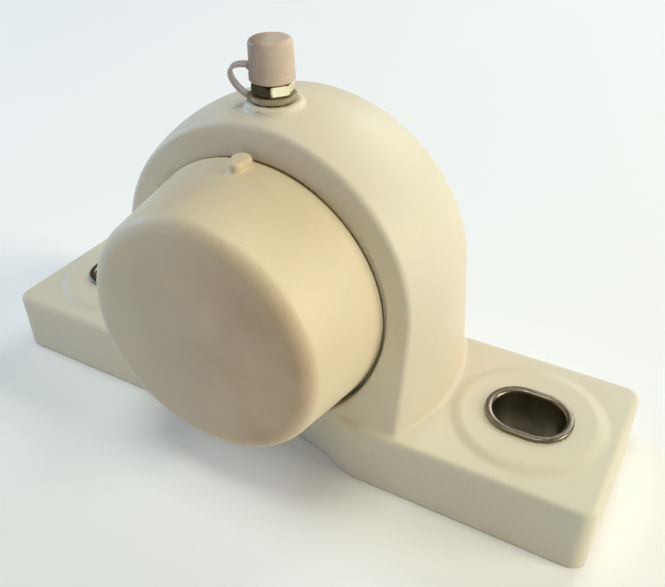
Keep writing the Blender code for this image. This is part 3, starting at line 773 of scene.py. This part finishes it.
def make_strap_ring():
    margin = (0.6, 0.6, 0)
    low, high = STRAP_RING_LOW - margin, STRAP_RING_HIGH + margin
    return solid_from_field("strap_ring", ring_field, low, high, SOFT_VOXEL)


# (distance from the nipple's axis, height) of the strap's ends and the points that pull its curve
STRAP_ROUTE = ((4.5, 72.7), (7.0, 74.0), (9.9, 78.9), (4.35, 78.3))
STRAP_ROOT_HALF_WIDTH = 1.3
STRAP_HALF_WIDTH = 1.15
STRAP_HALF_THICKNESS = 0.32


def make_strap():
    """A flat band that loops beside the nipple from its ring up to the dust cap."""
    out = np.array([math.cos(STRAP_ANGLE), math.sin(STRAP_ANGLE), 0])
    side = np.array([-math.sin(STRAP_ANGLE), math.cos(STRAP_ANGLE), 0])
    up = np.array([0, 0, 1])
    ends = [np.array(point) for point in STRAP_ROUTE]
    route = []
    for t in np.linspace(0, 1, 49):
        s = 1 - t
        distance, height = (
            s**3 * ends[0] + 3 * s**2 * t * ends[1] + 3 * s * t**2 * ends[2] + t**3 * ends[3]
        )
        slope = s**2 * (ends[1] - ends[0]) + 2 * s * t * (ends[2] - ends[1])
        slope += t**2 * (ends[3] - ends[2])
        slope /= np.linalg.norm(slope)
        place = NIPPLE_AXIS + out * distance + up * height
        route.append((place, side, up * slope[0] - out * slope[1]))
    w, h = STRAP_HALF_WIDTH, STRAP_HALF_THICKNESS
    corners = [(-w, -h, 0.25), (w, -h, 0.25), (w, h, 0.25), (-w, h, 0.25)]
    return swept_tube("cap_strap", route, filleted(corners))


# ---------------------------------------------------------------- materials


class Look:
    """A procedural material being put together on the object's own coordinates, in metres."""

    def __init__(self, name, **shader):
        self.material = bpy.data.materials.new(name)
        self.material.use_nodes = True
        self.tree = self.material.node_tree
        self.shader = self.tree.nodes["Principled BSDF"]
        self.place = self.add("ShaderNodeTexCoord").outputs["Object"]
        self.relief = []
        for socket, value in shader.items():
            self.plug(value, self.shader.inputs[socket.replace("_", " ")])

    def add(self, kind, inputs=(), **settings):
        made = self.tree.nodes.new(kind)
        for key, value in settings.items():
            setattr(made, key, value)
        for key, value in dict(inputs).items():
            self.plug(value, made.inputs[key])
        return made

    def plug(self, value, socket):
        if isinstance(value, bpy.types.NodeSocket):
            self.tree.links.new(value, socket)
        else:
            socket.default_value = value

    def noise(self, scale, detail=2.0, place=None):
        inputs = {"Vector": place or self.place, "Scale": scale, "Detail": detail}
        return self.add("ShaderNodeTexNoise", inputs).outputs["Fac"]

    def spots(self, scale, size, place=None):
        """0 in the middle of scattered spots and 1 elsewhere; size is in cells of the pattern."""
        inputs = {"Vector": place or self.place, "Scale": scale}
        cells = self.add("ShaderNodeTexVoronoi", inputs).outputs["Distance"]
        return self.between(cells, 0.4 * size, size, 0, 1)

    def between(self, value, low, high, to_low, to_high):
        names = ("Value", "From Min", "From Max", "To Min", "To Max")
        inputs = dict(zip(names, (value, low, high, to_low, to_high)))
        return self.add("ShaderNodeMapRange", inputs).outputs["Result"]

    def mix(self, share, first, second):
        made = self.add("ShaderNodeMix", data_type="RGBA")
        self.plug(share, made.inputs[0])
        for socket, value in ((made.inputs[6], first), (made.inputs[7], second)):
            self.plug(value if isinstance(value, bpy.types.NodeSocket) else (*value, 1), socket)
        return made.outputs[2]

    def calculate(self, operation, first, second):
        made = self.add("ShaderNodeMath", {0: first, 1: second}, operation=operation)
        return made.outputs["Value"]

    def stretched(self, x, y, z):
        """The coordinates, scaled along each axis so that a pattern is drawn out."""
        inputs = {0: self.place, 1: (x, y, z)}
        return self.add("ShaderNodeVectorMath", inputs, operation="MULTIPLY").outputs["Vector"]

    def around_shaft(self, centre, shaft="Y"):
        """(radius, along, 0) about a shaft, so that a pattern runs round it as lathe marks do."""
        inputs = {0: self.place, 1: [c * MM for c in centre]}
        offset = self.add("ShaderNodeVectorMath", inputs, operation="SUBTRACT").outputs["Vector"]
        parts = self.add("ShaderNodeSeparateXYZ", {"Vector": offset}).outputs
        across = parts["Z"] if shaft == "Y" else parts["Y"]
        along = parts["Y"] if shaft == "Y" else parts["Z"]
        squares = [self.calculate("MULTIPLY", part, part) for part in (parts["X"], across)]
        radius = self.calculate("SQRT", self.calculate("ADD", *squares), 0)
        return self.add("ShaderNodeCombineXYZ", {"X": radius, "Y": along}).outputs["Vector"]

    def towards(self, centre, angle):
        """How many millimetres a point lies from the centre towards this angle in plan."""
        inputs = {0: self.place, 1: [c * MM for c in centre]}
        offset = self.add("ShaderNodeVectorMath", inputs, operation="SUBTRACT").outputs["Vector"]
        inputs = {0: offset, 1: (math.cos(angle) / MM, math.sin(angle) / MM, 0)}
        return self.add("ShaderNodeVectorMath", inputs, operation="DOT_PRODUCT").outputs["Value"]

    def emboss(self, height, depth):
        """Adds relief as deep as this many millimetres."""
        inputs = {"Height": height, "Distance": depth * MM}
        if self.relief:
            inputs["Normal"] = self.relief[-1]
        self.relief.append(self.add("ShaderNodeBump", inputs).outputs["Normal"])

    def finish(self, colour=None, roughness=None):
        for socket, value in (("Base Color", colour), ("Roughness", roughness)):
            if value is not None:
                self.plug(value, self.shader.inputs[socket])
        if self.relief:
            self.plug(self.relief[-1], self.shader.inputs["Normal"])
        return self.material


# Painted shade on the cap front: where its colour goes from left to right, how far that wanders and how
# deep it reaches
FRONT_SHADE_LEFT = -22 * MM
FRONT_SHADE_RIGHT = 24 * MM
FRONT_SHADE_WANDER = 4 * MM
FRONT_SHADE_DEPTH = 2.6 * MM


def plastic_look(name, colour, shade, tint, roughness, wax, front=None):
    """Moulded plastic: faint mottling, flow ripples, a fine grain and a few tiny pits.

    Its front can take painted shade, a colour that runs from left to right: (y where the change is
    complete, left colour, right colour).
    """
    look = Look(name, Subsurface_Weight=wax, Subsurface_Scale=0.0016, IOR=1.49)
    look.shader.inputs["Subsurface Radius"].default_value = (1.0, 0.75, 0.45)
    clouds = look.between(look.noise(55, 3), 0.35, 0.68, 0, 1)
    zones = look.between(look.noise(17, 2), 0.4, 0.65, 0, 0.75)
    specks = look.between(look.noise(900, 2), 0.62, 0.8, 0, 0.12)
    body = look.mix(zones, look.mix(clouds, colour, shade), tint)
    body = look.mix(specks, body, [0.6 * c for c in shade])
    # Painted shade: the front's colour runs from the left colour to the right one
    if front:
        front_y, left, right = front
        parts = look.add("ShaderNodeSeparateXYZ", {"Vector": look.place}).outputs
        wander = look.between(look.noise(40, 2), 0.3, 0.7, -FRONT_SHADE_WANDER, FRONT_SHADE_WANDER)
        across = look.calculate("ADD", parts["X"], wander)
        painted_front_shade = look.mix(look.between(across, FRONT_SHADE_LEFT, FRONT_SHADE_RIGHT, 0, 1), left, right)
        depth = look.between(parts["Y"], front_y * MM, front_y * MM + FRONT_SHADE_DEPTH, 1, 0)
        painted_front_shade = look.mix(look.between(look.noise(70, 3), 0.35, 0.65, 0, 0.35), painted_front_shade, shade)
        body = look.mix(depth, body, painted_front_shade)
    patches = look.between(look.noise(140, 3), 0.3, 0.7, -0.05, 0.05)
    grain = look.between(look.noise(2200, 1), 0.3, 0.7, -0.03, 0.03)
    rough = look.calculate("ADD", look.calculate("ADD", patches, roughness), grain)
    look.emboss(look.noise(60, 2), 0.12)
    look.emboss(look.noise(1500, 3), 0.008)
    look.emboss(look.spots(120, 0.05), 0.06)
    return look.finish(body, rough)


def soft_look(name, colour, shade, roughness, wax, alpha=1.0, shaded_side=None):
    """Soft translucent plastic, cloudy inside, with a satin skin.

    One side can be painted darker, a painted shade: (a point on its axis, the angle that it faces in
    plan, colour).
    """
    look = Look(name, Subsurface_Weight=wax, Subsurface_Scale=0.0022, IOR=1.46)
    look.shader.inputs["Subsurface Radius"].default_value = (1.0, 0.8, 0.6)
    look.shader.inputs["Transmission Weight"].default_value = 1 - alpha
    clouds = look.between(look.noise(260, 3), 0.35, 0.65, 0, 1)
    rough = look.between(look.noise(500, 2), 0.3, 0.7, roughness - 0.06, roughness + 0.06)
    look.emboss(look.noise(420, 2), 0.03)
    look.emboss(look.noise(3000, 2), 0.004)
    body = look.mix(clouds, colour, shade)
    # Painted shade: the side facing this angle is darkened in the colour
    if shaded_side:
        centre, angle, painted_shade_colour = shaded_side
        reach = look.between(look.noise(400, 3), 0.3, 0.7, -0.5, 0.5)
        reach = look.calculate("ADD", look.towards(centre, angle), reach)
        body = look.mix(look.between(reach, 0.2, 2.6, 0, 1), body, painted_shade_colour)
    return look.finish(body, rough)


def metal_look(
    name, colour, shade, roughness, lines, line_depth, centre=None, shaft="Y", painted_dark_flat=None
):
    """Metal with fine machining or drawing lines, stains and small scratches.

    One side can be painted dark, a painted dark reflection: (the angle that it faces in plan, distance
    from the axis, colour).
    """
    look = Look(name, Metallic=1.0)
    place = look.around_shaft(centre, shaft) if centre is not None else look.stretched(1, 1, 0.05)
    marks = look.noise(lines, 3, place)
    stains = look.between(look.noise(220, 4), 0.4, 0.7, 0, 1)
    rough = look.between(marks, 0.3, 0.7, roughness - 0.06, roughness + 0.08)
    rough = look.calculate("ADD", rough, look.between(look.noise(90, 3), 0.4, 0.7, 0, 0.06))
    look.emboss(marks, line_depth)
    look.emboss(look.noise(600, 3), 0.01)
    body = look.mix(stains, colour, shade)
    # Painted dark reflection: the side facing this angle is darkened in the colour
    if painted_dark_flat:
        angle, distance, dark_reflection_colour = painted_dark_flat
        reach = look.between(look.noise(700, 3), 0.3, 0.7, -0.25, 0.25)
        reach = look.calculate("ADD", look.towards(centre, angle), reach)
        share = look.between(reach, distance - 0.5, distance, 0, 0.98)
        body = look.mix(share, body, dark_reflection_colour)
    return look.finish(body, rough)


def rubber_look():
    look = Look("seal_rubber_look", Specular_IOR_Level=0.4)
    colour = look.mix(look.noise(300, 3), (0.016, 0.016, 0.017), (0.035, 0.034, 0.033))
    look.emboss(look.noise(2400, 3), 0.01)
    return look.finish(colour, look.between(look.noise(500, 2), 0.3, 0.7, 0.5, 0.68))


def cage_look():
    """Fibre-filled nylon: off-white, with short pale flecks."""
    look = Look("cage_nylon_look", Subsurface_Weight=0.08, Subsurface_Scale=0.001)
    flecks = look.between(look.noise(1800, 2, look.stretched(1, 0.2, 1)), 0.55, 0.7, 0, 0.5)
    colour = look.mix(flecks, (0.70, 0.66, 0.54), (0.82, 0.80, 0.72))
    look.emboss(look.noise(900, 3), 0.02)
    return look.finish(colour, look.between(look.noise(300, 2), 0.3, 0.7, 0.42, 0.55))


def floor_look():
    look = Look("pale_floor_look", Specular_IOR_Level=0.15)
    colour = look.mix(look.noise(6, 2), FLOOR_COLOUR, [0.985 * c for c in FLOOR_COLOUR])
    return look.finish(colour, 0.8)


# ---------------------------------------------------------------- stage

FLOOR_COLOUR = (0.97, 0.97, 0.96)
FLOOR_RADIUS = 30
CAMERA_AZIMUTH = 30.62
CAMERA_ELEVATION = 34.92
CAMERA_ROLL = -1.35
CAMERA_PLACE = (0.07639, -0.11422, 0.12238)
CAMERA_LENS = 41.73
LIGHT_DISTANCE = 1.6
LIGHT_SIZE = 0.7


def make_floor():
    bm = bmesh.new()
    bmesh.ops.create_circle(bm, cap_ends=True, radius=FLOOR_RADIUS, segments=96)
    floor = object_from_bmesh("floor", bm)
    floor.data.materials.append(floor_look())


def make_camera():
    azimuth, elevation = math.radians(CAMERA_AZIMUTH), math.radians(CAMERA_ELEVATION)
    roll = math.radians(CAMERA_ROLL)
    right = Vector((math.cos(azimuth), math.sin(azimuth), 0))
    back = Vector((math.sin(azimuth), -math.cos(azimuth), 0)) * math.cos(elevation)
    back.z = math.sin(elevation)
    up = back.cross(right)
    across = right * math.cos(roll) + up * math.sin(roll)
    above = up * math.cos(roll) - right * math.sin(roll)
    data = bpy.data.cameras.new("camera")
    data.lens = CAMERA_LENS
    data.clip_start = 0.01
    camera = bpy.data.objects.new("camera", data)
    turn = Matrix((across, above, back)).transposed().to_4x4()
    camera.matrix_world = Matrix.Translation(CAMERA_PLACE) @ turn
    bpy.context.scene.collection.objects.link(camera)
    bpy.context.scene.camera = camera


def area_light(name, azimuth, elevation, power, colour, distance=LIGHT_DISTANCE):
    """A soft light that faces the object from this direction; azimuth 0 is in front, 90 right."""
    a, e = math.radians(azimuth), math.radians(elevation)
    out = Vector((math.sin(a) * math.cos(e), -math.cos(a) * math.cos(e), math.sin(e)))
    data = bpy.data.lights.new(name, "AREA")
    data.size = LIGHT_SIZE * distance / LIGHT_DISTANCE
    data.energy = power
    data.color = colour
    light = bpy.data.objects.new(name, data)
    light.location = out * distance + Vector((0, 0, 0.03))
    light.rotation_euler = out.to_track_quat("Z", "Y").to_euler()
    bpy.context.scene.collection.objects.link(light)


def make_world():
    world = bpy.data.worlds.new("studio")
    world.use_nodes = True
    sky = world.node_tree.nodes["Background"]
    sky.inputs["Color"].default_value = (1.0, 0.80, 0.76, 1)
    sky.inputs["Strength"].default_value = 0.17
    bpy.context.scene.world = world


def make_lights():
    """Warm light from the right, pale from behind, a soft ceiling and two cool lights on the left."""
    area_light("key", 100, 20, 15.6, (1.0, 0.94, 0.76))
    area_light("back_window", 170, 30, 9.2, (0.88, 0.95, 1.0))
    area_light("ceiling", 0, 85, 9.2, (0.92, 1.0, 0.86))
    area_light("sky_fill", -90, 20, 10.4, (0.35, 0.62, 1.0))
    area_light("left_fill", -50, 10, 0.31, (0.42, 0.64, 1.0), 0.5)


# ---------------------------------------------------------------- putting it together

IVORY = plastic_look(
    "housing_plastic_look", (0.75, 0.69, 0.53), (0.75, 0.65, 0.50), (0.70, 0.69, 0.535), 0.52, 0.12
)
# The cap front gets painted shade, greyer on the left and darker brown on the right
CAP_IVORY = plastic_look(
    "cap_plastic_look",
    (0.77, 0.665, 0.46),
    (0.73, 0.61, 0.41),
    (0.75, 0.655, 0.46),
    0.48,
    0.12,
    (CAP_FRONT_Y, (0.57, 0.54, 0.42), (0.46, 0.30, 0.16)),
)
STEEL = metal_look(
    "bearing_steel_look", (0.60, 0.60, 0.61), (0.52, 0.52, 0.52), 0.2, 9000, 0.002, CENTRE
)
BALL_STEEL = metal_look(
    "ball_steel_look", (0.68, 0.68, 0.69), (0.64, 0.64, 0.64), 0.08, 9000, 0.0005, CENTRE
)
SLINGER_STEEL = metal_look(
    "slinger_steel_look", (0.58, 0.57, 0.55), (0.50, 0.49, 0.47), 0.26, 5000, 0.003, CENTRE
)
SLEEVE_STEEL = metal_look(
    "sleeve_steel_look", (0.27, 0.235, 0.17), (0.19, 0.16, 0.11), 0.3, 1100, 0.0006
)
SCREW_STEEL = metal_look("screw_steel_look", (0.13, 0.13, 0.13), (0.07, 0.07, 0.07), 0.38, 4000, 0.003)
# Painted dark reflection on one flat of the hexagon
HEX_DARK_REFLECTION = (HEX_DARK_REFLECTION_FLAT, HEX_FLATS / 2 - 0.3, (0.03, 0.018, 0.008))
BRASS = metal_look(
    "nipple_brass_look",
    (1.0, 0.97, 0.68),
    (1.0, 0.90, 0.56),
    0.12,
    3000,
    0.002,
    NIPPLE_AXIS,
    "Z",
    HEX_DARK_REFLECTION,
)
NIPPLE_STEEL = metal_look("nipple_steel_look", (0.62, 0.62, 0.62), (0.55, 0.55, 0.55), 0.18, 4000, 0.001)
RUBBER = rubber_look()
CAGE = cage_look()
# Painted shade on the dust cap's left side
DUST_CAP_PAINTED_SHADE = (NIPPLE_AXIS, math.radians(-155), (0.36, 0.25, 0.18))
DUST_PLASTIC = soft_look(
    "dust_cap_look", (0.64, 0.52, 0.41), (0.58, 0.47, 0.37), 0.45, 0.2, shaded_side=DUST_CAP_PAINTED_SHADE
)
STRAP_PLASTIC = soft_look("strap_look", (0.62, 0.55, 0.51), (0.56, 0.50, 0.46), 0.4, 0.5, 0.75)
RING_PLASTIC = soft_look("strap_ring_look", (0.42, 0.36, 0.24), (0.36, 0.31, 0.20), 0.3, 0.3, 0.85)


def fit(piece, look, body, slot, *nodes):
    """Gives a piece its finish, its body and the CAD nodes that it stands for."""
    piece.data.materials.clear()
    piece.data.materials.append(look)
    if body:
        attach(piece, body)
    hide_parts(*nodes)


def main():
    make_floor()
    make_world()
    make_lights()
    make_camera()
    fit(make_housing(), IVORY, "housing", "housing_plastic", "housing")
    fit(make_end_cap(), CAP_IVORY, "end_cap", "cap_plastic", "closed_end_cap")
    for side in ("left", "right"):
        node = f"bolt_sleeve_{side}"
        fit(make_bolt_sleeve(side), SLEEVE_STEEL, "housing", "sleeve_steel", node)
    fit(make_outer_ring(), STEEL, "insert", "bearing_steel", "outer_ring")
    fit(make_inner_ring(), STEEL, "inner", "bearing_steel", "inner_ring")
    for side in ("front", "rear"):
        fit(make_seal(side), RUBBER, "insert", "seal_rubber", f"seal_{side}")
        fit(make_slinger(side), SLINGER_STEEL, "inner", "slinger_steel", f"slinger_{side}")
    for number, ball in enumerate(make_balls(), 1):
        fit(ball, BALL_STEEL, "cage", "ball_steel", f"ball_{number}")
    for number in (1, 2):
        body = node = f"set_screw_{number}"
        fit(make_set_screw(number), SCREW_STEEL, body, "screw_steel", node)
    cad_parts["ball_cage"].data.materials.clear()
    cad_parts["ball_cage"].data.materials.append(CAGE)
    fit(make_nipple(), BRASS, "housing", "nipple_brass", "grease_nipple")
    fit(make_check_ball(), NIPPLE_STEEL, "check_ball", "nipple_steel", "nipple_check_ball")
    fit(make_dust_cap(), DUST_PLASTIC, "dust_cap", "dust_cap_plastic", "dust_cap")
    fit(make_strap_ring(), RING_PLASTIC, "housing", "strap_ring_plastic", "dust_cap_ring")
    spring = make_nipple_spring()
    fit(spring, NIPPLE_STEEL, None, "nipple_steel", "nipple_spring")
    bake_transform(spring)
    strap = make_strap()
    fit(strap, STRAP_PLASTIC, None, "strap_plastic", "dust_cap_strap")
    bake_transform(strap)


main()
bpy.context.scene.view_settings.view_transform = "Standard"
